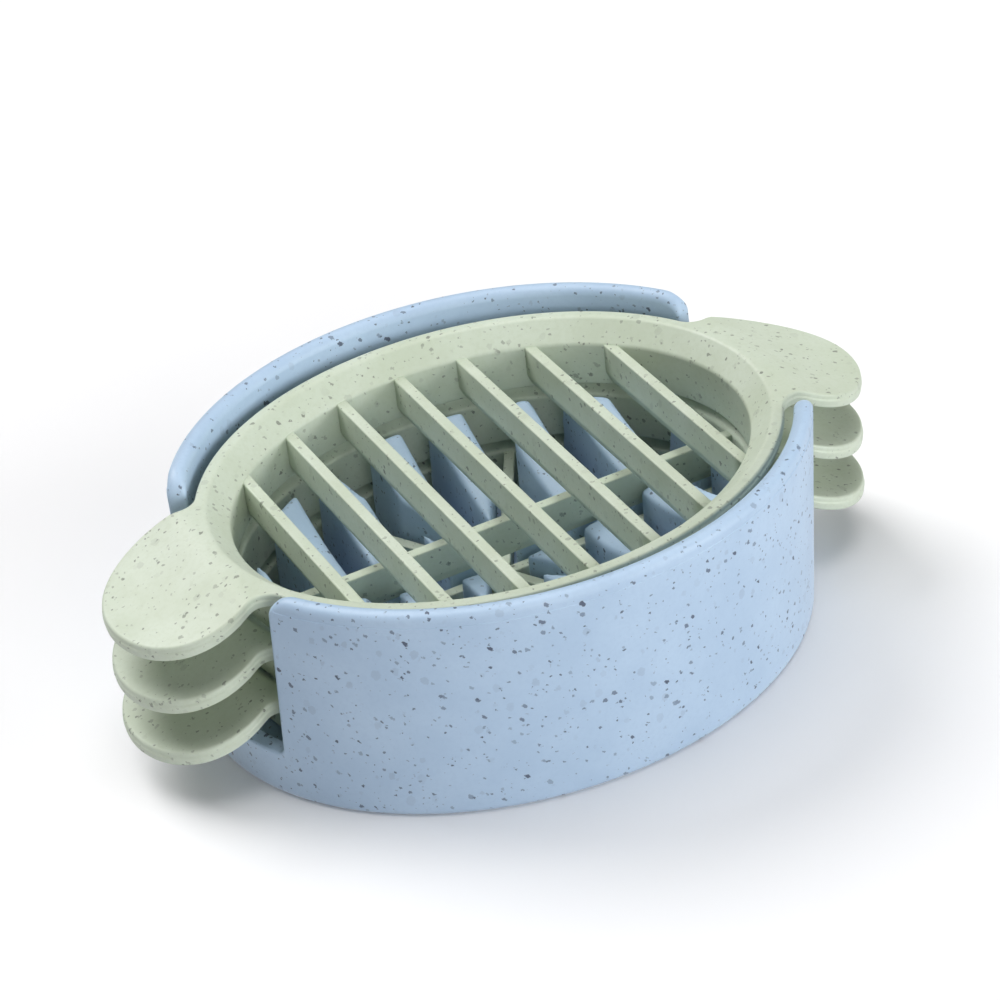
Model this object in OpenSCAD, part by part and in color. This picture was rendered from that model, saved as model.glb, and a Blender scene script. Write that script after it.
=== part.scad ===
// Three-in-one egg slicer: an oval tray with a cradle of posts for a boiled egg, and three
// lift-out cutting frames that nest in it. The slicer frame lies on top, the halver frame
// under it and the wedger frame at the bottom. X runs through the ears, Z is up, and the
// origin is the middle of the underside.

/* [Frame ring] */
// Length of the opening that the egg passes through
opening_l = 73.2; // [70:0.2:80]
// Width of the opening that the egg passes through
opening_w = 56; // [53:0.2:62]
// Width of the dished band around the opening
dish_run = 3; // [2.4:0.1:4]
// Depth of the dished band
dish_depth = 2.9; // [2:0.1:3.4]
// Width of the flat band outside the dished one
rim_band = 1.7; // [1.2:0.1:2.4]
// Thickness of the flange that the two bands form
flange_t = 2; // [1.5:0.1:2.6]
// Thickness of the skirt that hangs from the edge of the opening
skirt_t = 1.5; // [1.1:0.1:1.8]
// Height of a frame from the bottom of its skirt to its flat band
skirt_h = 9.5; // [9:0.1:12]

/* [Ears] */
// Distance from the middle of the frame to the middle of an ear
ear_reach = 44.5; // [43:0.1:47]
// Length of the ear's rounded end, from the middle of the ear to its tip
ear_end = 11.8; // [10:0.1:14]
// Width of an ear
ear_w = 25.4; // [22:0.2:28]
// Thickness of an ear
ear_t = 2.2; // [1.6:0.1:2.6]
// Distance that the tip of an ear hangs below the flat band
ear_drop = 5; // [2:0.1:6]
// Radius of the inside corner between an ear and the ring
ear_fillet = 3; // [2:0.5:5]

/* [Blades] */
// Distance from the middle of each end blade of the slicer to the end of the opening
end_gap = 8.1; // [7.6:0.1:9]
// Thickness of a blade at its top
blade_t = 1.6; // [1.2:0.1:2.2]
// Depth of a blade
blade_h = 5.9; // [5:0.1:6.4]
// Depth of the sharpened lower part of a blade
edge_h = 1.4; // [0.8:0.1:2]
// Thickness that is left at the cutting edge
edge_t = 0.5; // [0.3:0.1:0.8]
// Angle between two blades of the wedger
wedge_angle = 60; // [50:1:65]

/* [Base] */
// Thickness of the base wall
wall_t = 2.6; // [2:0.1:3.2]
// Thickness of the floor
floor_t = 2; // [1.6:0.1:3]
// Height of the ledge that carries the lowest frame, above the floor
ledge_h = 2; // [1.5:0.1:3]
// Width of the ledge inside the edge of the opening
ledge_lip = 0.8; // [0.4:0.1:1.2]
// Rise of the base wall above the flat band of the top frame
wall_rise = 2.4; // [1.5:0.1:4]
// Distance that the wall leans out from the floor to the rim at each long side
side_draft = 2.3; // [0.4:0.1:3]
// Distance that the wall leans out from the floor to the rim at each end
end_draft = 0.4; // [0.2:0.1:0.8]
// Radius of the edge under the floor
foot_round = 1; // [0.6:0.1:1.4]

/* [End notches] */
// Height of the sill under the ears
sill_h = 7.1; // [6:0.1:8.5]
// Distance that each side of a notch leans out from the sill to the rim
notch_draft = 1.6; // [0.4:0.1:2.4]
// Radius of the rounded top corners of the wall beside a notch
notch_round = 3; // [1.5:0.1:4]

/* [Cradle] */
// Height of the lowest point of the hollow that the egg lies in, above the table
hollow_z = 13.5; // [12:0.1:15]
// Rise of the hollow from its lowest point to the rounded outer edge of the posts
hollow_rise = 8; // [5:0.1:8.4]
// Thickness of a post, from one blade slot to the next
post_t = 5.3; // [4.4:0.1:5.8]
// Thickness of the posts beyond the end blades
end_post_t = 2.8; // [2:0.1:3.6]
// Distance that the outer side of the posts leans in on its way up
post_draft = 0.6; // [0.3:0.1:1.5]
// Radius of the outer top edge of the posts
post_round = 1.4; // [0.6:0.1:2]

/* [Clearances] */
// Height of the gap between a frame and what carries it
seat_clear = 0.45; // [0.3:0.05:0.6]
// Gap between the ring and the rim of the base wall at the long sides
side_clear = 2.8; // [2.4:0.1:4]
// Gap between the ring and the rim of the base wall, carried on to the ends
end_clear = 0.8; // [0.8:0.1:2]
// Gap between an ear and the foot of each notch side
ear_clear = 1.6; // [0.8:0.1:2.4]
// Gap between a post and the skirts around it
post_clear = 1.7; // [1.2:0.1:2.4]
// Gap at each side of a long or slanting blade between the posts
blade_clear = 0.8; // [0.5:0.1:1]

/* [Hidden] */
// segments around an oval, and steps in a rounded corner
oval_n = 96;
round_n = 8;
// steps from the edge of the hollow to its middle
dish_n = 12;
// anything this long reaches past the whole object
far = 200;
// blades in the slicer, and the gaps that they leave
blade_count = 7;
gap_count = blade_count + 1;
// how fast an ear levels out: 1 is a straight slope
ear_curve = 1.6;
// height at which the outer side of the posts starts to lean in
knee_z = 12;
// hairline that keeps an ear and its ring two solids
part_gap = 0.02;

frame_green = "#c3cfb0";
base_blue = "#9db8d6";

// half sizes of the opening, and of the ring's outside
open_a = opening_l / 2;
open_b = opening_w / 2;
ring_w = dish_run + rim_band;

// the frames' flat bands, from the lowest frame up
nest_depth = dish_depth * (1 - skirt_t / dish_run);
frame_step = skirt_h - nest_depth + seat_clear;
wedger_z = floor_t + ledge_h + seat_clear + skirt_h;
halver_z = wedger_z + frame_step;
slicer_z = halver_z + frame_step;
blade_top = -dish_depth;

// half sizes of the base wall's outside, at the rim and at the table
base_h = slicer_z + wall_rise;
rim_a = open_a + ring_w + end_clear + wall_t;
rim_b = open_b + ring_w + side_clear + wall_t;
foot_a = rim_a - end_draft;
foot_b = rim_b - side_draft;
notch_half = ear_w / 2 + ear_clear;

ear_start = open_a + ring_w;
ear_tip = ear_reach + ear_end;

slot_w = blade_t + 2 * blade_clear;
post_a = open_a - post_clear;
post_b = open_b - post_clear;

// the blades share out the length of the opening between the two end gaps
blade_pitch = (opening_l - 2 * end_gap) / (blade_count - 1);

// ---- ovals ----

// points around an oval with half sizes a and b, at height z
function oval(a, b) = [for (i = [0:oval_n - 1]) [a * cos(360 * i / oval_n), b * sin(360 * i / oval_n)]];
function oval_at(ring) = [for (p = oval(ring[0], ring[1])) [p[0], p[1], ring[2]]];
function flatten(lists) = [for (l = lists) each l];

// a solid stacked from ovals [a, b, z], lowest first
module oval_loft(rings) {
    last = (len(rings) - 1) * oval_n;
    sides = [for (k = [0:len(rings) - 2], i = [0:oval_n - 1])
        let (j = (i + 1) % oval_n)
        [k * oval_n + i, (k + 1) * oval_n + i, (k + 1) * oval_n + j, k * oval_n + j]];
    caps = [[for (i = [0:oval_n - 1]) i], [for (i = [oval_n - 1:-1:0]) last + i]];
    polyhedron(flatten([for (r = rings) oval_at(r)]), concat(sides, caps));
}

// a closed band swept around the oval: the section's points [a, b, z] run inside, up and over
module oval_band(section) {
    m = len(section);
    faces = [for (k = [0:m - 1], i = [0:oval_n - 1])
        let (j = (i + 1) % oval_n, n = (k + 1) % m)
        [k * oval_n + i, k * oval_n + j, n * oval_n + j, n * oval_n + i]];
    polyhedron(flatten([for (r = section) oval_at(r)]), faces);
}

// a straight oval block between two heights
module oval_prism(a, b, z0, z1) {
    translate([0, 0, z0]) linear_extrude(z1 - z0) polygon(oval(a, b));
}

// ---- base ----

// outside half sizes of the wall at height z
function wall_a(z) = foot_a + end_draft * z / base_h;
function wall_b(z) = foot_b + side_draft * z / base_h;

module base_floor() {
    color(base_blue) oval_loft([
        for (i = [0:round_n / 2])
            let (t = 90 * i / (round_n / 2), z = foot_round * (1 - cos(t)), d = foot_round * (1 - sin(t)))
            [wall_a(z) - d, wall_b(z) - d, z],
        [wall_a(floor_t), wall_b(floor_t), floor_t]
    ]);
}

// the wall around the whole base, with its rounded rim
module wall_band() {
    r = wall_t / 2;
    rim_z = base_h - r;
    oval_band([
        [wall_a(floor_t) - wall_t, wall_b(floor_t) - wall_t, floor_t],
        for (i = [0:round_n])
            let (t = 180 - 180 * i / round_n, d = r * cos(t) - r)
            [wall_a(rim_z) + d, wall_b(rim_z) + d, rim_z + r * sin(t)],
        [wall_a(floor_t), wall_b(floor_t), floor_t]
    ]);
}

// the side view of the cut between the two walls: its corners are rounded at the rim
function notch_side() = let (top = notch_half + notch_draft, r = notch_round) [
    [notch_half, 0],
    [notch_half, sill_h],
    for (i = [0:round_n]) let (t = 90 * i / round_n) [top + r * (1 - cos(t)), base_h - r * (1 - sin(t))],
    [top + r, base_h + 1]
];

module notch() {
    half = notch_side();
    other = [for (i = [len(half) - 1:-1:0]) [-half[i][0], half[i][1]]];
    rotate([90, 0, 90]) linear_extrude(far, center = true) polygon(concat(half, other));
}

module sill_space() {
    translate([-far / 2, -notch_half, 0]) cube([far, 2 * notch_half, sill_h]);
}

module base_wall(side) {
    color(base_blue) intersection() {
        difference() {
            wall_band();
            notch();
        }
        translate([-far / 2, side > 0 ? 0 : -far, 0]) cube([far, far, far]);
    }
}

module sill(side) {
    color(base_blue) intersection() {
        wall_band();
        sill_space();
        translate([side > 0 ? 0 : -far, -far / 2, 0]) cube([far, far, far]);
    }
}

// the step inside the wall that carries the skirt of the lowest frame
module frame_ledge() {
    top = floor_t + ledge_h;
    inner_a = open_a - ledge_lip;
    inner_b = open_b - ledge_lip;
    color(base_blue) oval_band([
        [inner_a, inner_b, floor_t],
        [inner_a, inner_b, top],
        [wall_a(top) - wall_t, wall_b(top) - wall_t, top],
        [wall_a(floor_t) - wall_t, wall_b(floor_t) - wall_t, floor_t]
    ]);
}

// ---- cradle ----

// the oval block that the posts are cut from, with the shallow hollow for the egg in its top
module cradle_block() {
    edge_a = post_a - post_draft - post_round;
    edge_b = post_b - post_draft - post_round;
    edge_z = hollow_z + hollow_rise - post_round;
    color(base_blue) oval_loft([
        [post_a, post_b, floor_t],
        [post_a, post_b, knee_z],
        for (i = [0:round_n])
            let (t = 90 * i / round_n, d = post_round * cos(t))
            [edge_a + d, edge_b + d, edge_z + post_round * sin(t)],
        for (i = [1:dish_n])
            let (s = 1 - (i - 0.5) / dish_n)
            [edge_a * s, edge_b * s, hollow_z + hollow_rise * s * s]
    ]);
}

// the room for the wedger's slanting blade, with all that lies beyond it on its inner side
// (side -1) or its outer side (side 1)
module wedge_room(side) {
    rotate(wedge_angle) translate([-far / 2, side > 0 ? -slot_w / 2 : slot_w / 2 - far, 0]) cube(far);
}

// the piece of the block in gap k, counted from the middle, on one side of the slanting blade
module post_piece(k, side_x, side_y, kept) {
    x = k < gap_count / 2 ? (k - 0.5) * blade_pitch - post_t / 2 : post_a - end_post_t;
    mirror([side_x > 0 ? 0 : 1, 0, 0]) mirror([0, side_y > 0 ? 0 : 1, 0]) difference() {
        intersection() {
            cradle_block();
            translate([x, slot_w / 2, 0]) cube([k < gap_count / 2 ? post_t : far, far, far]);
        }
        wedge_room(-kept);
    }
}

// post i from the left, in front of the middle (side -1) or behind it (side 1)
module cradle_post(i, side) {
    from_middle = i - (gap_count + 1) / 2;
    k = abs(from_middle) + 0.5;
    post_piece(k, from_middle, side, k == 1 ? 1 : -1);
}

// the inner end of a middle post, which the slanting blade cuts off
module cradle_stub(side_x, side_y) {
    post_piece(1, side_x, side_y, -1);
}

// ---- frames ----

// the ring of a frame, with its flat band at height 0
module ring() {
    out_a = open_a + ring_w;
    out_b = open_b + ring_w;
    color(frame_green) oval_band([
        [open_a, open_b, -skirt_h],
        [open_a, open_b, -dish_depth],
        [open_a + dish_run, open_b + dish_run, 0],
        [out_a, out_b, 0],
        [out_a, out_b, -flange_t],
        [open_a + dish_run, open_b + dish_run, -flange_t],
        [open_a + skirt_t, open_b + skirt_t, -dish_depth - flange_t / 2],
        [open_a + skirt_t, open_b + skirt_t, -skirt_h]
    ]);
}

// the plan of an ear, run into the ring with rounded inside corners
module ear_plan() {
    offset(r = -ear_fillet, $fn = 4 * round_n) offset(delta = ear_fillet) union() {
        polygon(oval(open_a + ring_w, open_b + ring_w));
        translate([ear_reach, 0]) polygon(oval(ear_end, ear_w / 2));
    }
}

// distance of an ear's top below the flat band: it leaves the ring steeply and levels out
function ear_fall(x) = let (t = max(0, x - ear_start) / (ear_tip - ear_start))
    ear_drop * (1 - pow(1 - t, ear_curve));

module ear(side) {
    xs = [for (i = [0:2 * round_n]) ear_start + (ear_tip - ear_start) * i / (2 * round_n)];
    top = [for (x = xs) [x, -ear_fall(x)]];
    under = [for (i = [len(xs) - 1:-1:0]) [xs[i], -ear_fall(xs[i]) - ear_t]];
    inside = [[0, -ear_t], [0, 0]];
    color(frame_green) mirror([side > 0 ? 0 : 1, 0, 0]) difference() {
        intersection() {
            rotate([90, 0, 0]) linear_extrude(far, center = true) polygon(concat(top, under, inside));
            translate([0, 0, -far / 2]) linear_extrude(far) ear_plan();
        }
        oval_prism(open_a + ring_w + part_gap, open_b + ring_w + part_gap, -far / 2, far / 2);
    }
}

// a straight blade along Y through the middle, thinned to a cutting edge at the bottom
module blade_bar(length) {
    t = blade_t / 2;
    e = edge_t / 2;
    rotate([90, 0, 0]) linear_extrude(length, center = true) polygon([
        [t, blade_top], [t, blade_top - blade_h + edge_h], [e, blade_top - blade_h],
        [-e, blade_top - blade_h], [-t, blade_top - blade_h + edge_h], [-t, blade_top]
    ]);
}

// what lies inside the skirt
module inside_skirt() {
    oval_prism(open_a, open_b, -far / 2, far / 2);
}

module slicer_blade(i) {
    color(frame_green) intersection() {
        translate([(i - (blade_count + 1) / 2) * blade_pitch, 0, 0]) blade_bar(far);
        inside_skirt();
    }
}

module long_blade() {
    color(frame_green) intersection() {
        rotate(90) blade_bar(far);
        inside_skirt();
    }
}

// one half of a slanting blade, from the long blade to the ring: side_x and side_y pick its quarter
module slant_blade(side_x, side_y) {
    color(frame_green) mirror([side_x > 0 ? 0 : 1, 0, 0]) mirror([0, side_y > 0 ? 0 : 1, 0])
        intersection() {
            rotate(wedge_angle - 90) blade_bar(far);
            translate([0, blade_t / 2, -far / 2]) cube(far);
            inside_skirt();
        }
}

// ---- nodes ----

base_floor();
frame_ledge();
base_wall(-1);  // base_wall_front
base_wall(1);  // base_wall_back
sill(-1);  // sill_left
sill(1);  // sill_right

for (i = [1:gap_count]) {
    cradle_post(i, -1);
    cradle_post(i, 1);
}
cradle_stub(-1, -1);  // cradle_stub_front_left
cradle_stub(1, -1);  // cradle_stub_front_right
cradle_stub(-1, 1);  // cradle_stub_back_left
cradle_stub(1, 1);  // cradle_stub_back_right

translate([0, 0, wedger_z]) {
    ring();  // wedger_ring
    ear(-1);  // wedger_ear_left
    ear(1);  // wedger_ear_right
    long_blade();  // wedger_blade_long
    slant_blade(1, 1);  // wedger_blade_back_right
    slant_blade(-1, 1);  // wedger_blade_back_left
    slant_blade(-1, -1);  // wedger_blade_front_left
    slant_blade(1, -1);  // wedger_blade_front_right
}

translate([0, 0, halver_z]) {
    ring();  // halver_ring
    ear(-1);  // halver_ear_left
    ear(1);  // halver_ear_right
    long_blade();  // halver_blade
}

translate([0, 0, slicer_z]) {
    ring();  // slicer_ring
    ear(-1);  // slicer_ear_left
    ear(1);  // slicer_ear_right
    for (i = [1:blade_count])
        slicer_blade(i);
}
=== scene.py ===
import math

import bmesh
import bpy
import numpy as np
from mathutils import Matrix, Vector


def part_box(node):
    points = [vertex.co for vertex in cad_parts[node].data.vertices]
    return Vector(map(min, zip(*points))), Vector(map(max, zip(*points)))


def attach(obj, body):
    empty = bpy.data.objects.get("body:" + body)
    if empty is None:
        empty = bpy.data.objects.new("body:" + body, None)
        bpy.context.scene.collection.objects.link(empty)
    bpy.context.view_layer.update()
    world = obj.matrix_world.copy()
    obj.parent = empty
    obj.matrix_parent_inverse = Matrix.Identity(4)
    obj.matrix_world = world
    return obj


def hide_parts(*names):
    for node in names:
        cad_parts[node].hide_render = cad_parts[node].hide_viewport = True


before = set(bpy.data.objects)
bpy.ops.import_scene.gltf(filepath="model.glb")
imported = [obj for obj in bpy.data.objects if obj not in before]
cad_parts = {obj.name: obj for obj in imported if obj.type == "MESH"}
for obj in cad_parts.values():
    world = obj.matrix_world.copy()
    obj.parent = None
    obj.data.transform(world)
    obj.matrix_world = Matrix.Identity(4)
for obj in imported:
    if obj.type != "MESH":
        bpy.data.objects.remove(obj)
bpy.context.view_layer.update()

# ---------------------------------------------------------------- sizes, in millimetres

MM = 0.001

# opening of a frame (half sizes), and the bands and skirt around it
OPEN_A, OPEN_B = 36.6, 28.0
DISH_RUN, DISH_DEPTH = 3.0, 2.9
RIM_BAND, FLANGE_T = 1.7, 2.0
SKIRT_T, SKIRT_H = 1.5, 9.5
RING_A = OPEN_A + DISH_RUN + RIM_BAND
RING_B = OPEN_B + DISH_RUN + RIM_BAND

# ears
EAR_X, EAR_END, EAR_HALF = 44.5, 11.8, 12.7
EAR_T, EAR_DROP, EAR_CURVE, EAR_FILLET = 2.2, 5.0, 1.6, 3.0
EAR_LENGTH = EAR_X + EAR_END - RING_A
ROOT_BLEND = 1.6

# blades
BLADE_T, BLADE_H, EDGE_H, EDGE_T = 1.6, 5.9, 1.4, 0.5
BLADE_COUNT, BLADE_PITCH = 7, 9.5
WEDGE_ANGLE = 60
INTO_SKIRT = 0.75

# base
FOOT_A, FOOT_B = 44.3, 35.8
END_DRAFT, SIDE_DRAFT = 0.4, 2.3
WALL_T, FLOOR_T, FOOT_ROUND = 2.6, 2.0, 1.0
LEDGE_H, LEDGE_LIP = 2.0, 0.8
SILL_H, NOTCH_HALF, NOTCH_DRAFT = 7.1, 14.3, 1.6
NOTCH_ROUND, NOTCH_FILLET = 3.0, 1.2
RIM_ROUND, END_ROUND = 1.25, 0.45
BASE_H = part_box("base_wall_front")[1].z / MM

FRAMES = ("halver", "wedger", "slicer")
FRAME_Z = {name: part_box(name + "_ring")[1].z / MM for name in FRAMES}


def srgb(red, green, blue):
    """An 8-bit colour as the linear one that shaders use."""
    def linear(value):
        value /= 255
        return value / 12.92 if value <= 0.04045 else ((value + 0.055) / 1.055) ** 2.4
    return (linear(red), linear(green), linear(blue), 1.0)


# ---------------------------------------------------------------- shader maths


class Value:
    """A number in a shader, which adds Math nodes when it is used in an expression."""

    def __init__(self, shader, socket):
        self.shader, self.socket = shader, socket

    def math(self, operation, *others, clamp=False):
        return self.shader.math(operation, self, *others, clamp=clamp)

    def __add__(self, other):
        return self.math("ADD", other)

    def __radd__(self, other):
        return self.shader.math("ADD", other, self)

    def __sub__(self, other):
        return self.math("SUBTRACT", other)

    def __rsub__(self, other):
        return self.shader.math("SUBTRACT", other, self)

    def __mul__(self, other):
        return self.math("MULTIPLY", other)

    def __rmul__(self, other):
        return self.shader.math("MULTIPLY", other, self)

    def clamped(self):
        """The same number, kept between 0 and 1."""
        return self.math("ADD", 0.0, clamp=True)


class Shader:
    """Builds the node tree of a material, or of the world."""

    def __init__(self, owner, output="ShaderNodeOutputMaterial"):
        owner.use_nodes = True
        self.tree = owner.node_tree
        self.tree.nodes.clear()
        self.output = self.node(output)

    def node(self, kind, settings=None, **inputs):
        """A node of that type: its settings come first, then its inputs."""
        made = self.tree.nodes.new(kind)
        for key, value in (settings or {}).items():
            setattr(made, key, value)
        for key, value in inputs.items():
            self.feed(made.inputs[key.replace("_", " ")], value)
        return made

    def feed(self, socket, value):
        if isinstance(value, Value):
            value = value.socket
        if isinstance(value, bpy.types.NodeSocket):
            self.tree.links.new(value, socket)
        elif value is not None:
            socket.default_value = value

    def math(self, operation, *values, clamp=False):
        made = self.node("ShaderNodeMath", {"operation": operation, "use_clamp": clamp})
        for socket, value in zip(made.inputs, values):
            self.feed(socket, value)
        return Value(self, made.outputs[0])

    def mix(self, factor, first, second):
        """A colour between two others."""
        made = self.node("ShaderNodeMix", {"data_type": "RGBA"})
        colors = [s for s in made.inputs if s.type == "RGBA"]
        self.feed(made.inputs[0], factor)
        self.feed(colors[0], first)
        self.feed(colors[1], second)
        return [s for s in made.outputs if s.type == "RGBA"][0]

    def mix_surfaces(self, factor, first, second):
        """Two surfaces mixed, as what the tree gives."""
        made = self.node("ShaderNodeMixShader")
        for socket, value in zip(made.inputs, (factor, first.outputs[0], second.outputs[0])):
            self.feed(socket, value)
        self.feed(self.output.inputs["Surface"], made.outputs[0])

    def smooth(self, value, low, high):
        """0 below low, 1 above high, and smooth between."""
        made = self.node("ShaderNodeMapRange", {"interpolation_type": "SMOOTHSTEP"},
                         Value=value, From_Min=low, From_Max=high)
        return Value(self, made.outputs[0])

    def noise(self, vector, scale, detail, roughness):
        made = self.node("ShaderNodeTexNoise", {"noise_dimensions": "3D"}, Vector=vector,
                         Scale=scale, Detail=detail, Roughness=roughness)
        return Value(self, made.outputs[0])

    def turned(self, vector, turn, stretch):
        """Coordinates turned by angles in degrees, then stretched."""
        spun = self.node("ShaderNodeMapping", {"vector_type": "POINT"}, Vector=vector,
                         Rotation=[math.radians(a) for a in turn])
        wide = self.node("ShaderNodeMapping", {"vector_type": "POINT"},
                         Vector=spun.outputs[0], Scale=stretch)
        return wide.outputs[0]


# how far the outline of a fleck wanders, in metres, and how finely
RAGGED, RAGGED_SCALE = 0.0006, 2600.0
# softness of a fleck's outline, as a share of its cell
FLECK_FADE_IN, FLECK_FADE_OUT = -0.035, 0.03
# strength of the faintest flecks
FAINTEST = 0.35


def fleck_layer(shader, vector, cells, turn, stretch, small, large, share):
    """Flecks that lie in the plastic: how strong the fleck is at each point, from 0 to 1."""
    wobble = shader.node("ShaderNodeTexNoise", {"noise_dimensions": "3D"}, Vector=vector,
                         Scale=RAGGED_SCALE, Detail=2.0)
    moved = shader.node("ShaderNodeVectorMath", {"operation": "MULTIPLY_ADD"})
    shader.feed(moved.inputs[0], wobble.outputs[1])
    shader.feed(moved.inputs[1], (RAGGED, RAGGED, RAGGED))
    shader.feed(moved.inputs[2], vector)
    shaped = shader.turned(moved.outputs[0], turn, stretch)
    voronoi = shader.node("ShaderNodeTexVoronoi", {"voronoi_dimensions": "3D", "feature": "F1"},
                          Vector=shaped, Scale=cells, Randomness=1.0)
    parts = shader.node("ShaderNodeSeparateColor", Color=voronoi.outputs["Color"])
    size_draw, chance, depth = (Value(shader, s) for s in parts.outputs)
    radius = small + (large - small) * size_draw * size_draw
    distance = Value(shader, voronoi.outputs["Distance"])
    inside = 1 - shader.smooth(distance - radius, FLECK_FADE_IN, FLECK_FADE_OUT)
    present = shader.math("GREATER_THAN", share, chance)
    return inside * present * (FAINTEST + (1 - FAINTEST) * depth)


# the patterns in the plastic: how finely each varies, to the metre, its detail and its roughness
CLOUD, RIPPLE = (90.0, 3.0, 0.55), (160.0, 2.0, 0.5)
GRAIN, SKIN = (1500.0, 2.0, 0.6), (2600.0, 3.0, 0.6)
# between which values the clouds and the grain fade in
CLOUD_FADE, GRAIN_FADE = (0.3, 0.7), (0.4, 0.75)
# faint flecks that lie under the surface: cells, turn, stretch, sizes and share
HIDDEN_FLECKS = (520.0, (70, 20, 10), (1.0, 0.7, 1.0), 0.12, 0.34, 0.5)
HIDDEN_STRENGTH = 0.16
# share of the body colour in the clouds, and strength of the grain over them
BODY_SHARE, GRAIN_STRENGTH = 0.55, 0.30
# depth and strength of the moulded skin, and how the skin, the ripple and the flecks make it
BUMP_DEPTH, BUMP_STRENGTH = 0.00006, 0.22
SKIN_PART, RIPPLE_PART, FLECK_DENT = 0.35, 0.65, 0.12
# how much the skin and the flecks change the gloss
SKIN_ROUGH, FLECK_ROUGH = 0.16, 0.12
PLASTIC_IOR = 1.5


def speckled_plastic(name, body, light, dark, fleck, strength, flecks, gloss):
    """Straw-filled plastic: a cloudy body colour with dark flecks and a fine moulded skin."""
    material = bpy.data.materials.new(name)
    shader = Shader(material)
    place = shader.node("ShaderNodeTexCoord").outputs["Object"]
    cloud = shader.noise(place, *CLOUD)
    grain = shader.noise(place, *GRAIN)
    base = shader.mix(shader.smooth(cloud, *CLOUD_FADE), dark, light)
    base = shader.mix(BODY_SHARE, base, body)
    base = shader.mix(shader.smooth(grain, *GRAIN_FADE) * GRAIN_STRENGTH, base, dark)

    marks = None
    for cells, turn, stretch, small, large, share in flecks:
        layer = fleck_layer(shader, place, cells, turn, stretch, small, large, share)
        marks = layer if marks is None else shader.math("MAXIMUM", marks, layer)
    hidden = fleck_layer(shader, place, *HIDDEN_FLECKS)
    base = shader.mix(hidden * HIDDEN_STRENGTH, base, fleck)
    base = shader.mix((marks * strength).clamped(), base, fleck)

    skin = shader.noise(place, *SKIN)
    ripple = shader.noise(place, *RIPPLE)
    height = skin * SKIN_PART + ripple * RIPPLE_PART - marks * FLECK_DENT
    bump = shader.node("ShaderNodeBump", Strength=BUMP_STRENGTH, Distance=BUMP_DEPTH,
                       Height=height)
    rough = gloss + (skin - 0.5) * SKIN_ROUGH + marks * FLECK_ROUGH
    plastic = shader.node("ShaderNodeBsdfPrincipled", Base_Color=base, Roughness=rough,
                          IOR=PLASTIC_IOR, Normal=bump.outputs[0])
    shader.feed(shader.output.inputs["Surface"], plastic.outputs[0])
    return material


BLUE = speckled_plastic(
    "speckled_blue", body=srgb(184, 208, 232), light=srgb(190, 213, 236),
    dark=srgb(171, 196, 222), fleck=srgb(74, 83, 104), strength=0.95,
    flecks=((740.0, (20, 35, 0), (1.0, 1.0, 0.6), 0.08, 0.24, 0.80),
            (660.0, (80, 10, 50), (1.0, 0.55, 1.0), 0.07, 0.22, 0.75),
            (1250.0, (10, 70, 120), (1.0, 1.0, 0.7), 0.09, 0.24, 0.60)),
    gloss=0.44)

GREEN = speckled_plastic(
    "speckled_green", body=srgb(207, 218, 200), light=srgb(213, 223, 206),
    dark=srgb(192, 203, 178), fleck=srgb(94, 99, 88), strength=0.72,
    flecks=((760.0, (20, 35, 0), (1.0, 1.0, 0.6), 0.08, 0.25, 0.60),
            (900.0, (80, 10, 50), (1.0, 0.6, 1.0), 0.08, 0.26, 0.60),
            (1300.0, (10, 70, 120), (1.0, 1.0, 0.7), 0.10, 0.24, 0.50)),
    gloss=0.46)

# ---------------------------------------------------------------- mesh helpers

# points closer together than this, in metres, become one
MERGE = 2e-6


def eased(t):
    """A rise from 0 to 1 that starts and ends level."""
    return t * t * (3 - 2 * t)


def rounded(points, setbacks, steps=4, support=0.07):
    """A path with its corners rounded, and a close point before and after each rounding."""
    points = [np.array(p, float) for p in points]
    path = []
    count = len(points)
    for i, (corner, setback) in enumerate(zip(points, setbacks)):
        if setback == 0:
            path.append(corner)
            continue
        before, after = points[i - 1], points[(i + 1) % count]
        back = (before - corner) / np.linalg.norm(before - corner)
        on = (after - corner) / np.linalg.norm(after - corner)
        path.append(corner + back * (setback + support))
        for k in range(steps + 1):
            t = k / steps
            path.append(corner + back * setback * (1 - t) ** 2 + on * setback * t ** 2)
        path.append(corner + on * (setback + support))
    return path


def mesh_object(name, vertices, faces, material):
    """An object at the origin from points in millimetres, with doubles merged and normals out."""
    mesh = bpy.data.meshes.new(name)
    mesh.from_pydata([tuple(v) for v in np.asarray(vertices) * MM], [], faces)
    work = bmesh.new()
    work.from_mesh(mesh)
    bmesh.ops.remove_doubles(work, verts=work.verts, dist=MERGE)
    bmesh.ops.dissolve_degenerate(work, edges=work.edges, dist=MERGE / 2)
    bmesh.ops.recalc_face_normals(work, faces=work.faces)
    for face in work.faces:
        face.smooth = True
    work.to_mesh(mesh)
    work.free()
    mesh.materials.append(material)
    made = bpy.data.objects.new(name, mesh)
    bpy.context.scene.collection.objects.link(made)
    return made


class Patches:
    """Collects grids of points into one mesh."""

    def __init__(self):
        self.vertices, self.faces = [], []

    def grid(self, rows, wrap_columns=False, wrap_rows=False):
        """Joins equally long rows of points with four-sided faces."""
        rows = [list(row) for row in rows]
        start, width, count = len(self.vertices), len(rows[0]), len(rows)
        self.vertices.extend(tuple(p) for row in rows for p in row)
        for r in range(count if wrap_rows else count - 1):
            for c in range(width if wrap_columns else width - 1):
                s, d = (r + 1) % count, (c + 1) % width
                self.faces.append((start + r * width + c, start + r * width + d,
                                   start + s * width + d, start + s * width + c))

    def fan(self, ring, middle):
        """Joins an open row of points to one point."""
        start = len(self.vertices)
        self.vertices.extend([tuple(p) for p in ring] + [tuple(middle)])
        last = start + len(ring)
        for c in range(len(ring) - 1):
            self.faces.append((start + c, start + c + 1, last))


# ---------------------------------------------------------------- frames

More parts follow.
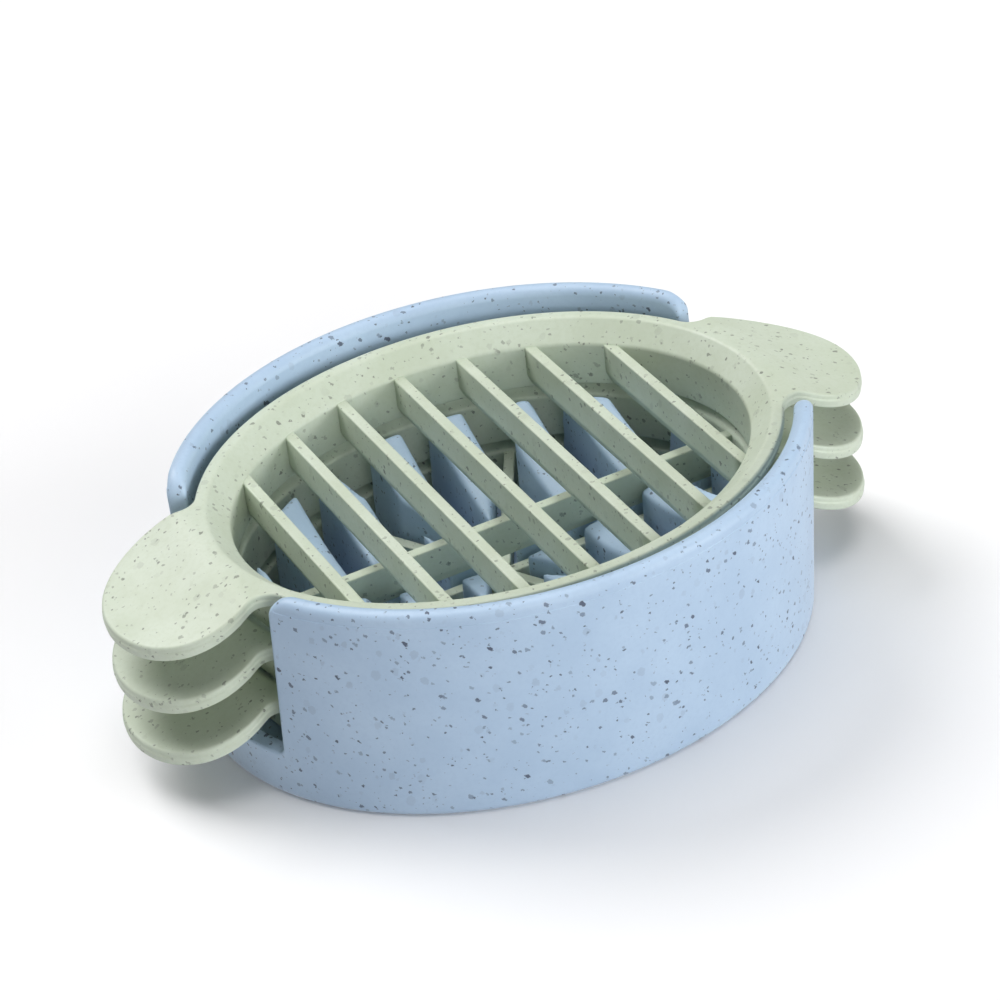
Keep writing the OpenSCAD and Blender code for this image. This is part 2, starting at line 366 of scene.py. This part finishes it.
# segments along the ear's tip, the inside corner and the ring, for a quarter of a frame
SEG_EAR, SEG_FILLET, SEG_RING = 34, 8, 48
EDGE_ROUND, EDGE_LEAN = 0.35, 0.12
# the parting line on the outer side: how far out, and at what share of the thickness
PARTING_LINE = ((-0.15, 0.32), (-0.15, 0.38), (-0.03, 0.43), (-0.02, 0.5), (-0.05, 0.62))
# where the rows of the flat band and of its underside lie, as shares of its width
TOP_ROWS = (0.12, 0.26, 0.4, 0.55, 0.7, 0.85, 0.96)
UNDER_ROWS = (0.04, 0.2, 0.4, 0.6, 0.8)
# rows of each of the two roundings of the outer edge
EDGE_ROWS = 5
# roundings of the section's corners on the inside and the outside, from the skirt's foot up and
# from the flange down
INSIDE_ROUNDS, OUTSIDE_ROUNDS = (0, 0.3, 0.35, 0.4, 0), (0, 0.3, 0.3, 0.3, 0)
# the thickness changes from the ring's to the ear's over this length
THICKEN_RUN = 4
# points on the ring, and halvings, in the search for where the inside corner touches it
RING_POINTS, HALVINGS = 4000, 40


def oval_offset(middle_x, a, b, angle, out):
    """A point that lies out from an oval, and the oval's outward direction there."""
    normal = np.array([math.cos(angle) / a, math.sin(angle) / b])
    normal /= np.linalg.norm(normal)
    point = np.array([middle_x + a * math.cos(angle), b * math.sin(angle)])
    return point + normal * out, normal


def quarter_outline():
    """A quarter of a frame's plan from the ear's tip to the long side: points, outward
    directions, and the matching angle on the ovals inside."""
    dense = np.linspace(0, math.pi / 2, RING_POINTS)
    ring = np.stack([RING_A * np.cos(dense), RING_B * np.sin(dense)], 1)

    def room(angle):
        center, _ = oval_offset(EAR_X, EAR_END, EAR_HALF, angle, EAR_FILLET)
        away = np.linalg.norm(ring - center, axis=1)
        return away.min() - EAR_FILLET, center, dense[away.argmin()]

    # the inside corner leaves the ear's oval past its widest place, on the side of the ring
    low, high = math.radians(90), math.radians(150)
    for _ in range(HALVINGS):
        middle = (low + high) / 2
        low, high = (middle, high) if room(middle)[0] > 0 else (low, middle)
    _, center, ring_angle = room(low)
    points, normals, inner = [], [], []
    total = SEG_EAR + SEG_FILLET
    for i in range(SEG_EAR + 1):
        point, normal = oval_offset(EAR_X, EAR_END, EAR_HALF, low * i / SEG_EAR, 0)
        points.append(point)
        normals.append(normal)
        inner.append(ring_angle * i / total)
    first = points[-1] - center
    last = oval_offset(0, RING_A, RING_B, ring_angle, 0)[0] - center
    start, stop = (math.atan2(v[1], v[0]) for v in (first, last))
    turn = (stop - start + math.pi) % (2 * math.pi) - math.pi
    for i in range(1, SEG_FILLET):
        angle = start + turn * i / SEG_FILLET
        way = np.array([math.cos(angle), math.sin(angle)])
        points.append(center + way * EAR_FILLET)
        normals.append(-way)
        inner.append(ring_angle * (SEG_EAR + i) / total)
    for i in range(SEG_RING + 1):
        angle = ring_angle + (math.pi / 2 - ring_angle) * i / SEG_RING
        point, normal = oval_offset(0, RING_A, RING_B, angle, 0)
        points.append(point)
        normals.append(normal)
        inner.append(angle)
    return np.array(points), np.array(normals), np.array(inner)


def whole_outline():
    """The quarter mirrored into the closed plan of a frame."""
    points, normals, inner = quarter_outline()
    last = len(points) - 1
    loop = [(1, 1, i, 0) for i in range(last + 1)]
    loop += [(-1, 1, i, 1) for i in range(last - 1, -1, -1)]
    loop += [(-1, -1, i, 2) for i in range(1, last + 1)]
    loop += [(1, -1, i, 3) for i in range(last - 1, 0, -1)]
    turn = {0: lambda v: v, 1: lambda v: math.pi - v, 2: lambda v: math.pi + v, 3: lambda v: -v}
    flip = np.array([(sx, sy) for sx, sy, _, _ in loop])
    order = [i for _, _, i, _ in loop]
    angles = np.array([turn[q](inner[i]) for _, _, i, q in loop])
    return points[order] * flip, normals[order] * flip, angles


def ear_fall(x):
    """How far the top of an ear lies below the flat band, rounded where it leaves the ring."""
    past = np.abs(x) - (RING_A - ROOT_BLEND / 2)
    run = np.where(past < ROOT_BLEND, np.maximum(past, 0) ** 2 / (2 * ROOT_BLEND),
                   past - ROOT_BLEND / 2)
    share = np.clip(run / EAR_LENGTH, 0, 1)
    return EAR_DROP * (1 - (1 - share) ** EAR_CURVE)


def frame_moulding(name, z):
    """Ring, skirt and both ears of a frame as one closed skin."""
    outline, normals, angles = whole_outline()
    cos, sin = np.cos(angles), np.sin(angles)

    def oval_row(out, height):
        return np.stack([(OPEN_A + out) * cos, (OPEN_B + out) * sin, np.full(cos.size, height)], 1)

    def skin(plan, below):
        """Points of a plan laid on the top surface, or below it."""
        grow = np.clip((np.abs(plan[:, 0]) - RING_A) / THICKEN_RUN + 0.5, 0, 1)
        thick = FLANGE_T + (EAR_T - FLANGE_T) * eased(grow)
        height = -ear_fall(plan[:, 0]) - (below if np.isscalar(below) else below(thick))
        return np.column_stack([plan, height])

    inside = rounded([(SKIRT_T / 2, -SKIRT_H), (0, -SKIRT_H), (0, -DISH_DEPTH), (DISH_RUN, 0),
                      (DISH_RUN + RIM_BAND, 0)], INSIDE_ROUNDS)[:-1]
    rows = [oval_row(*p) for p in inside]
    start = rows[-1][:, :2]
    top_edge = outline - normals * (EDGE_ROUND + EDGE_LEAN)
    for share in TOP_ROWS:
        rows.append(skin(start + (top_edge - start) * share, 0))
    for k in range(EDGE_ROWS):
        turn = math.pi / 2 * k / (EDGE_ROWS - 1)
        out = -EDGE_LEAN - EDGE_ROUND * (1 - math.sin(turn))
        rows.append(skin(outline + normals * out, EDGE_ROUND * (1 - math.cos(turn))))
    for out, part in PARTING_LINE:
        rows.append(skin(outline + normals * out, lambda thick, part=part: thick * part))
    for k in range(EDGE_ROWS):
        turn = math.pi / 2 * k / (EDGE_ROWS - 1)
        out = -EDGE_LEAN - EDGE_ROUND * (1 - math.cos(turn))
        rise = EDGE_ROUND * (1 - math.sin(turn))
        rows.append(skin(outline + normals * out, lambda thick, rise=rise: thick - rise))
    outside = rounded([(DISH_RUN + RIM_BAND, -FLANGE_T), (DISH_RUN, -FLANGE_T),
                       (SKIRT_T, -DISH_DEPTH - FLANGE_T / 2), (SKIRT_T, -SKIRT_H),
                       (SKIRT_T / 2, -SKIRT_H)], OUTSIDE_ROUNDS)[1:-1]
    under = oval_row(*outside[0])[:, :2]
    for share in UNDER_ROWS:
        rows.append(skin(top_edge + (under - top_edge) * share, lambda thick: thick))
    rows += [oval_row(*p) for p in outside]
    patches = Patches()
    patches.grid([row + (0, 0, z) for row in rows], wrap_columns=True, wrap_rows=True)
    return mesh_object(name, patches.vertices, patches.faces, GREEN)


# ---------------------------------------------------------------- blades

# roundings of a blade's section from one side of its top round to the other
BLADE_ROUNDS = (0.22, 0.3, 0.1, 0.1, 0.3, 0.22)
# steps along a blade
STATIONS = 12
BLADE_SECTION = rounded(
    [(BLADE_T / 2, 0), (BLADE_T / 2, -BLADE_H + EDGE_H), (EDGE_T / 2, -BLADE_H),
     (-EDGE_T / 2, -BLADE_H), (-BLADE_T / 2, -BLADE_H + EDGE_H), (-BLADE_T / 2, 0)],
    BLADE_ROUNDS, steps=3, support=0.06)


def bar(name, ends):
    """A closed blade: ends gives, for each side offset, where it starts and stops, as points."""
    rows = []
    for k in range(STATIONS + 1):
        row = []
        for across, height in BLADE_SECTION:
            first, last = ends(across)
            row.append((*(first + (last - first) * k / STATIONS), height))
        rows.append(row)
    patches = Patches()
    patches.grid(rows, wrap_columns=True)
    width = len(BLADE_SECTION)
    patches.faces.append(tuple(range(width)))
    patches.faces.append(tuple(range(STATIONS * width, (STATIONS + 1) * width)))
    return mesh_object(name, patches.vertices, patches.faces, GREEN)


def chord(angle, across, from_middle=None):
    """Where a line at that angle, shifted sideways, meets the oval just inside the skirt."""
    a, b = OPEN_A + INTO_SKIRT, OPEN_B + INTO_SKIRT
    way = np.array([math.cos(angle), math.sin(angle)])
    side = np.array([way[1], -way[0]]) * across
    p = (way[0] / a) ** 2 + (way[1] / b) ** 2
    q = way[0] * side[0] / a ** 2 + way[1] * side[1] / b ** 2
    r = (side[0] / a) ** 2 + (side[1] / b) ** 2 - 1
    root = math.sqrt(q * q - p * r)
    near = (-q - root) / p if from_middle is None else from_middle
    return side + way * near, side + way * (-q + root) / p


def blade_rack_tree():
    """Geometry Nodes: blades in a row, each as long as the oval is wide at its place."""
    tree = bpy.data.node_groups.new("blade_rack", "GeometryNodeTree")
    sockets = {}
    tree.interface.new_socket("Geometry", in_out="OUTPUT", socket_type="NodeSocketGeometry")
    for label, kind in (("Bar", "Object"), ("Count", "Int"), ("Pitch", "Float"),
                        ("Half Length", "Float"), ("Half Width", "Float"),
                        ("Height", "Float"), ("Plastic", "Material")):
        made = tree.interface.new_socket(label, in_out="INPUT", socket_type="NodeSocket" + kind)
        sockets[label] = made.identifier
    add, link = tree.nodes.new, tree.links.new
    inputs, output = add("NodeGroupInput"), add("NodeGroupOutput")

    def math_node(operation, *values):
        made = add("ShaderNodeMath")
        made.operation = operation
        for socket, value in zip(made.inputs, values):
            if isinstance(value, (int, float)):
                socket.default_value = value
            else:
                link(value, socket)
        return made.outputs[0]

    line = add("GeometryNodeMeshLine")
    line.mode = "OFFSET"
    link(inputs.outputs["Count"], line.inputs["Count"])
    step = add("ShaderNodeCombineXYZ")
    link(inputs.outputs["Pitch"], step.inputs[0])
    link(step.outputs[0], line.inputs["Offset"])
    begin = add("ShaderNodeCombineXYZ")
    gaps = math_node("SUBTRACT", inputs.outputs["Count"], 1)
    link(math_node("MULTIPLY", math_node("MULTIPLY", gaps, -0.5), inputs.outputs["Pitch"]),
         begin.inputs[0])
    link(inputs.outputs["Height"], begin.inputs[2])
    link(begin.outputs[0], line.inputs["Start Location"])

    shape = add("GeometryNodeObjectInfo")
    link(inputs.outputs["Bar"], shape.inputs["Object"])
    copies = add("GeometryNodeInstanceOnPoints")
    link(line.outputs[0], copies.inputs["Points"])
    link(shape.outputs["Geometry"], copies.inputs["Instance"])
    real = add("GeometryNodeRealizeInstances")
    link(copies.outputs[0], real.inputs[0])

    place = add("GeometryNodeInputPosition")
    split = add("ShaderNodeSeparateXYZ")
    link(place.outputs[0], split.inputs[0])
    share = math_node("DIVIDE", split.outputs[0], inputs.outputs["Half Length"])
    left = math_node("MAXIMUM", math_node("SUBTRACT", 1, math_node("MULTIPLY", share, share)), 0)
    reach = math_node("MULTIPLY", math_node("SQRT", left), inputs.outputs["Half Width"])
    joined = add("ShaderNodeCombineXYZ")
    link(split.outputs[0], joined.inputs[0])
    link(math_node("MULTIPLY", split.outputs[1], reach), joined.inputs[1])
    link(split.outputs[2], joined.inputs[2])
    moved = add("GeometryNodeSetPosition")
    link(real.outputs[0], moved.inputs["Geometry"])
    link(joined.outputs[0], moved.inputs["Position"])
    finish = add("GeometryNodeSetMaterial")
    link(moved.outputs[0], finish.inputs["Geometry"])
    link(inputs.outputs["Plastic"], finish.inputs["Material"])
    link(finish.outputs[0], output.inputs[0])
    return tree, sockets


def slicer_blades(z):
    """The slicer's seven blades, made by the blade rack and turned into a plain mesh."""
    tree, sockets = blade_rack_tree()
    # one blade that reaches 1 m each way, which the rack multiplies by the room it finds
    reach = 1 / MM
    unit = bar("blade_unit", lambda across: (np.array([across, -reach]), np.array([across, reach])))
    holder = bpy.data.objects.new("blade_rack_holder", bpy.data.meshes.new("blade_rack_holder"))
    bpy.context.scene.collection.objects.link(holder)
    rack = holder.modifiers.new("blade_rack", "NODES")
    rack.node_group = tree
    for label, value in (("Bar", unit), ("Count", BLADE_COUNT), ("Pitch", BLADE_PITCH * MM),
                         ("Half Length", (OPEN_A + INTO_SKIRT) * MM),
                         ("Half Width", (OPEN_B + INTO_SKIRT) * MM),
                         ("Height", (z - DISH_DEPTH) * MM), ("Plastic", GREEN)):
        rack[sockets[label]] = value
    bpy.context.view_layer.update()
    done = holder.evaluated_get(bpy.context.evaluated_depsgraph_get())
    mesh = bpy.data.meshes.new_from_object(done)
    for spare in (holder, unit):
        bpy.data.objects.remove(spare)
    mesh.name = "slicer_blades"
    made = bpy.data.objects.new("slicer_blades", mesh)
    bpy.context.scene.collection.objects.link(made)
    return made


def raised(piece, z):
    """Lifts a piece's mesh, in millimetres; its object stays at the origin."""
    piece.data.transform(Matrix.Translation((0, 0, z * MM)))
    return piece


# ---------------------------------------------------------------- base

# columns of a quarter of the base along its sill and its wall
COLUMNS_SILL, COLUMNS_WALL = 12, 64
# steps of the free edge of a wall: corner at the sill, straight side, corner at the rim
FOOT_STEPS, SIDE_STEPS, CORNER_STEPS = 12, 24, 40
# steps of the rim's corner over which the edge grows from its own rounding to the rim's
GROW_STEPS = 28
# of the straight side's and the rim's steps, every fourth starts a row of the wall
ROW_STRIDE = 4
# the wall's columns lie closer together towards its free edge
CROWDING = 1.25
# steps of the rounding at the foot, and of each half of the rounding along the free edge
FOOT_ROUND_STEPS, ARC_STEPS = 6, 5
# heights of the rows on a sill's outside and inside
SILL_ROWS_OUT, SILL_ROWS_IN = (1.1, 2.2, 3.6, 5.0, 6.1), (6.0, 5.2, 4.6, 4.2)
# rounding between the inside of the wall and the ledge
LEDGE_FILLET = 0.25
# section of the ledge's lip down into the floor: how far outside the lip, and how far above
# the floor
LIP_SECTION = ((0.32, LEDGE_H), (0.25, LEDGE_H), (0.07, LEDGE_H - 0.07), (0, LEDGE_H - 0.25),
               (0, LEDGE_H - 0.35), (0, 0.5), (-0.15, 0.12), (-0.5, 0))
# rows of the underside and of the floor, as shares of their size
UNDERSIDE_ROWS = (0.12, 0.3, 0.5, 0.7, 0.86, 0.96, 0.99)
FLOOR_ROWS = (0.96, 0.86, 0.7, 0.5, 0.3, 0.12)


def wall_point(angle, z, depth):
    """A point of the base wall, at a depth under its outside."""
    a = FOOT_A + END_DRAFT * z / BASE_H - depth
    b = FOOT_B + SIDE_DRAFT * z / BASE_H - depth
    return (a * math.cos(angle), b * math.sin(angle), z)


def wall_angle(y, z):
    """The angle at which the outside of the wall is y from the middle, at height z."""
    return math.asin(y / (FOOT_B + SIDE_DRAFT * z / BASE_H))


def notch_edge():
    """The free edge of a wall from the sill to the rim, as (y, z, direction into the plastic,
    rounding), closely spaced."""
    edge = []
    for i in range(FOOT_STEPS + 1):
        t = math.radians(90 * i / FOOT_STEPS)
        edge.append((NOTCH_HALF - NOTCH_FILLET + NOTCH_FILLET * math.sin(t),
                     SILL_H + NOTCH_FILLET * (1 - math.cos(t)),
                     math.sin(t), -math.cos(t), END_ROUND))
    low, high = SILL_H + NOTCH_FILLET, BASE_H - NOTCH_ROUND
    for i in range(1, SIDE_STEPS):
        t = i / SIDE_STEPS
        z = low + (high - low) * t
        edge.append((NOTCH_HALF + NOTCH_DRAFT * t, z, 1.0, 0.0, END_ROUND))
    for i in range(CORNER_STEPS + 1):
        t = math.radians(90 * i / CORNER_STEPS)
        grow = min(i / GROW_STEPS, 1)
        size = END_ROUND + (RIM_ROUND - END_ROUND) * eased(grow)
        edge.append((NOTCH_HALF + NOTCH_DRAFT + NOTCH_ROUND * (1 - math.cos(t)),
                     BASE_H - NOTCH_ROUND * (1 - math.sin(t)),
                     math.cos(t), -math.sin(t), size))
    return edge


# the faint moulding line around the wall: its distance below the rim, its depth, and the height
# over which it steps
RIM_LINE, RIM_STEP, RIM_RUN = 1.95, 0.1, 0.08


def rim_step(z):
    """Depth of the faint moulding line below the rim."""
    return RIM_STEP * eased(min(max((z - (BASE_H - RIM_LINE)) / RIM_RUN, 0), 1))


def base_shell():
    """Floor, walls, sills and ledge of the base as one closed skin, built as a quarter."""
    edge = notch_edge()
    first = edge[0]
    level = SILL_H - END_ROUND
    sill_angles = [wall_angle(first[0] * i / COLUMNS_SILL, level) for i in range(COLUMNS_SILL + 1)]
    shares = [(i / COLUMNS_WALL) ** CROWDING for i in range(COLUMNS_WALL + 1)]
    angles = sill_angles + [sill_angles[-1] + (math.pi / 2 - sill_angles[-1]) * s
                            for s in shares[1:]]

    # rows of the wall start on the edge's rounding and run to the middle of the wall
    tops = [z + nz * size for _, z, _, nz, size in edge]
    kept = [entry for i, entry in enumerate(edge)
            if i <= FOOT_STEPS or i % ROW_STRIDE == 0 or i == len(edge) - 1]
    for level_z in (BASE_H - RIM_LINE + RIM_RUN * k / 2 for k in range(-1, 4)):
        i = next(k for k in range(FOOT_STEPS + 1, len(tops)) if tops[k] >= level_z)
        t = (level_z - tops[i - 1]) / (tops[i] - tops[i - 1])
        kept.append(tuple(p + (q - p) * t for p, q in zip(edge[i - 1], edge[i])))
    kept.sort(key=lambda e: (e[1] + e[3] * e[4], e[0]))

    def wall_row(entry, depth):
        y, z, ny, nz, size = entry
        row_z = z + nz * size
        begin = wall_angle(y + ny * size, row_z)
        step = rim_step(row_z) if depth == 0 else 0
        return [wall_point(begin + (math.pi / 2 - begin) * s, row_z, depth + step) for s in shares]

    def ring(z, depth):
        return [wall_point(t, z, depth) for t in angles]

    def flat_ring(a, b, z):
        return [(a * math.cos(t), b * math.sin(t), z) for t in angles]

    # outside, from the middle of the underside to the sill
    flat_a, flat_b = FOOT_A - FOOT_ROUND, FOOT_B - FOOT_ROUND
    outer = [flat_ring(flat_a * share, flat_b * share, 0) for share in UNDERSIDE_ROWS]
    for k in range(FOOT_ROUND_STEPS + 1):
        t = math.pi / 2 * k / FOOT_ROUND_STEPS
        outer.append(ring(FOOT_ROUND * (1 - math.cos(t)), FOOT_ROUND * (1 - math.sin(t))))
    outer += [ring(z, 0) for z in (*SILL_ROWS_OUT, level)]

    # inside, from the sill down to the ledge and the floor
    lip_a, lip_b = OPEN_A - LEDGE_LIP, OPEN_B - LEDGE_LIP
    inner = [ring(z, WALL_T) for z in (level, *SILL_ROWS_IN)]
    inner.append(ring(FLOOR_T + LEDGE_H, WALL_T + LEDGE_FILLET))
    inner += [flat_ring(lip_a + out, lip_b + out, FLOOR_T + up) for out, up in LIP_SECTION]
    inner += [flat_ring(lip_a * share, lip_b * share, FLOOR_T) for share in FLOOR_ROWS]

    quarter = Patches()
    quarter.grid(outer)
    quarter.fan(outer[0], (0, 0, 0))
    quarter.grid(inner)
    quarter.fan(inner[-1], (0, 0, FLOOR_T))
    quarter.grid([wall_row(e, 0) for e in kept])
    quarter.grid([wall_row(e, WALL_T) for e in kept])

    # the rounded edge that joins outside and inside, along sill, notch side and rim
    sill_b = FOOT_B + SIDE_DRAFT * SILL_H / BASE_H
    trail = [(math.sin(t) * sill_b, SILL_H, 0.0, -1.0, END_ROUND, t) for t in sill_angles]
    trail += [(*entry, None) for entry in kept[1:]]
    top = kept[-1]
    begin = wall_angle(top[0], top[1] - top[4])
    trail += [(0, BASE_H, 0.0, -1.0, RIM_ROUND, begin + (math.pi / 2 - begin) * s)
              for s in shares[1:]]
    arc = [math.pi / 2 * k / ARC_STEPS for k in range(ARC_STEPS + 1)]
    strip = []
    for y, z, ny, nz, size, fixed in trail:
        line = []
        for side in (0, 1):
            for t in (arc if side == 0 else arc[::-1]):
                back = size * (1 - math.sin(t))
                into = size * (1 - math.cos(t))
                line_z = z + nz * back
                angle = fixed if fixed is not None else wall_angle(y + ny * back, line_z)
                step = rim_step(z + nz * size) * (1 - math.sin(t)) if side == 0 else 0
                depth = into if side == 0 else WALL_T - into
                line.append(wall_point(angle, line_z, depth + step))
        strip.append(line)
    quarter.grid(strip)

    vertices, faces = [], []
    for sx, sy in ((1, 1), (-1, 1), (-1, -1), (1, -1)):
        start = len(vertices)
        vertices += [(x * sx, y * sy, z) for x, y, z in quarter.vertices]
        faces += [tuple(start + i for i in face) for face in quarter.faces]
    return mesh_object("base_shell", vertices, faces, BLUE)


# size of the even grain that a post's mesh is remade with, and strength and rounds of smoothing
POST_GRAIN, SOFTEN_STRENGTH, SOFTEN_ROUNDS = 0.32, 0.5, 30


def cradle_piece(node):
    """A post or stub of the cradle with its edges and tip softened, from the node's solid."""
    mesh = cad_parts[node].data.copy()
    name = node.replace("cradle_", "")
    mesh.name = name
    work = bmesh.new()
    work.from_mesh(mesh)
    bmesh.ops.remove_doubles(work, verts=work.verts, dist=MERGE)
    work.to_mesh(mesh)
    work.free()
    rough = bpy.data.objects.new(name + "_rough", mesh)
    bpy.context.scene.collection.objects.link(rough)
    grain = rough.modifiers.new("even_grain", "REMESH")
    grain.mode, grain.voxel_size = "VOXEL", POST_GRAIN * MM
    soft = rough.modifiers.new("soft_edges", "SMOOTH")
    soft.factor, soft.iterations = SOFTEN_STRENGTH, SOFTEN_ROUNDS
    bpy.context.view_layer.update()
    done = rough.evaluated_get(bpy.context.evaluated_depsgraph_get())
    mesh = bpy.data.meshes.new_from_object(done)
    bpy.data.objects.remove(rough)
    mesh.name = name
    mesh.materials.clear()
    mesh.materials.append(BLUE)
    mesh.polygons.foreach_set("use_smooth", [True] * len(mesh.polygons))
    made = bpy.data.objects.new(name, mesh)
    bpy.context.scene.collection.objects.link(made)
    return made


# ---------------------------------------------------------------- the object

# how far from the middle a wedge arm starts, inside the long blade
ARM_START = 0.3
# the wedge arms: name, direction, and how far below the long blade's top the arm's own lies, so
# that tops which cross do not lie in one plane
WEDGE_ARMS = (("back_right", WEDGE_ANGLE, 0.02), ("back_left", 180 - WEDGE_ANGLE, 0.03),
              ("front_left", 180 + WEDGE_ANGLE, 0.02), ("front_right", -WEDGE_ANGLE, 0.03))


def place_blade(piece, name, *nodes):
    """Hides the solids that a blade stands for, and ties it to the frame that it moves with."""
    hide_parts(*nodes)
    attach(piece, name + "_frame")


shell = base_shell()
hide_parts("base_floor", "frame_ledge", "base_wall_front", "base_wall_back",
            "sill_left", "sill_right")
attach(shell, "base")

for row in ("front", "back"):
    cradle = [f"cradle_post_{row}_{number}" for number in range(1, 9)]
    cradle += [f"cradle_stub_{row}_{side}" for side in ("left", "right")]
    for node in cradle:
        post = cradle_piece(node)
        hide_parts(node)
        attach(post, "base")

for name in FRAMES:
    moulding = frame_moulding(name + "_moulding", FRAME_Z[name])
    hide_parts(name + "_ring", name + "_ear_left", name + "_ear_right")
    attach(moulding, name + "_frame")

rack = slicer_blades(FRAME_Z["slicer"])
place_blade(rack, "slicer", *[f"slicer_blade_{n}" for n in range(1, BLADE_COUNT + 1)])

for name, node in (("halver", "halver_blade"), ("wedger", "wedger_blade_long")):
    blade = raised(bar(name + "_long_blade", lambda across: chord(0, across)),
                   FRAME_Z[name] - DISH_DEPTH)
    place_blade(blade, name, node)

for side, angle, sunk in WEDGE_ARMS:
    way = math.radians(angle)
    blade = raised(bar("wedger_blade_" + side + "_moulded",
                       lambda across, way=way: chord(way, across, from_middle=ARM_START)),
                   FRAME_Z["wedger"] - DISH_DEPTH - sunk)
    place_blade(blade, "wedger", "wedger_blade_" + side)

# ---------------------------------------------------------------- floor, light and camera

# colour of the floor as the camera sees it, and as it throws light back on the object
FLOOR_SEEN, FLOOR_BOUNCE = (0.98, 0.98, 0.99, 1), (0.55, 0.55, 0.57, 1)
WHITE = (1, 1, 1, 1)
# how much of the floor glows white in reflections
FLOOR_GLOW = 0.85
# half the floor's side, and how far it lies below the object
FLOOR_REACH, FLOOR_GAP = 4000, 0.02
# the world's colour and strength where the camera does not see it
SKY_COLOR, SKY_STRENGTH = (0.93, 0.95, 1.0, 1), 0.04


def floor_material():
    """Pale matte paper, brighter to the camera than to the object above it."""
    material = bpy.data.materials.new("pale_floor")
    shader = Shader(material)
    path = shader.node("ShaderNodeLightPath")
    paper = shader.mix(path.outputs["Is Camera Ray"], FLOOR_BOUNCE, FLOOR_SEEN)
    matte = shader.node("ShaderNodeBsdfDiffuse", Color=paper)
    glow = shader.node("ShaderNodeEmission", Color=WHITE, Strength=1.0)
    in_gloss = Value(shader, path.outputs["Is Glossy Ray"])
    shader.mix_surfaces(in_gloss * FLOOR_GLOW, matte, glow)
    return material


corners = [(FLOOR_REACH * sx, FLOOR_REACH * sy, -FLOOR_GAP)
           for sx, sy in ((-1, -1), (1, -1), (1, 1), (-1, 1))]
floor = mesh_object("floor", corners, [(0, 1, 2, 3)], floor_material())
if floor.data.polygons[0].normal.z < 0:
    floor.data.flip_normals()

world = bpy.data.worlds.new("studio")
bpy.context.scene.world = world
studio = Shader(world, "ShaderNodeOutputWorld")
sky = studio.node("ShaderNodeBackground", Color=SKY_COLOR, Strength=SKY_STRENGTH)
white = studio.node("ShaderNodeBackground", Color=WHITE, Strength=1.0)
rays = studio.node("ShaderNodeLightPath")
studio.mix_surfaces(rays.outputs["Is Camera Ray"], sky, white)


def lamp(name, toward, strength, angle, color):
    """A broad soft lamp far away, in that direction from the object."""
    data = bpy.data.lights.new(name, "SUN")
    data.energy, data.angle, data.color = strength, math.radians(angle), color
    made = bpy.data.objects.new(name, data)
    bpy.context.scene.collection.objects.link(made)
    made.rotation_mode = "QUATERNION"
    made.rotation_quaternion = Vector(toward).normalized().to_track_quat("Z", "Y")


lamp("overhead_box", (0.0, 0.0, 1.0), 1.22, 42, (1.0, 0.995, 0.985))
lamp("back_box", (-0.24, 0.62, 0.75), 1.92, 38, (1.0, 0.99, 0.985))
lamp("right_box", (0.70, -0.70, 0.24), 1.55, 34, (0.99, 0.995, 1.0))
lamp("front_box", (-0.1, -0.96, 0.27), 1.1, 36, (0.99, 0.995, 1.0))

# where the camera stands and how it is turned, in degrees and millimetres, and its lens
AZIMUTH, ELEVATION, ROLL = (math.radians(v) for v in (-25.01, 34.25, -6.08))
DISTANCE, SIDE_SHIFT, UP_SHIFT = 432.9, 1.52, -18.81
FOCAL, SENSOR = 112.18, 36.0

back = Vector((math.sin(AZIMUTH) * math.cos(ELEVATION), -math.cos(AZIMUTH) * math.cos(ELEVATION),
               math.sin(ELEVATION)))
level_right = (-back).cross(Vector((0, 0, 1))).normalized()
level_up = level_right.cross(-back)
right = math.cos(ROLL) * level_right + math.sin(ROLL) * level_up
up = -math.sin(ROLL) * level_right + math.cos(ROLL) * level_up
spot = (back * DISTANCE - right * SIDE_SHIFT - up * UP_SHIFT) * MM

lens = bpy.data.cameras.new("camera")
lens.lens, lens.sensor_width, lens.sensor_height, lens.sensor_fit = FOCAL, SENSOR, SENSOR, "AUTO"
lens.clip_start, lens.clip_end = 0.01, 50
camera = bpy.data.objects.new("camera", lens)
bpy.context.scene.collection.objects.link(camera)
camera.matrix_world = Matrix.Translation(spot) @ Matrix((right, up, back)).transposed().to_4x4()
bpy.context.scene.camera = camera
bpy.context.scene.view_settings.view_transform = "Standard"

bpy.context.view_layer.update()
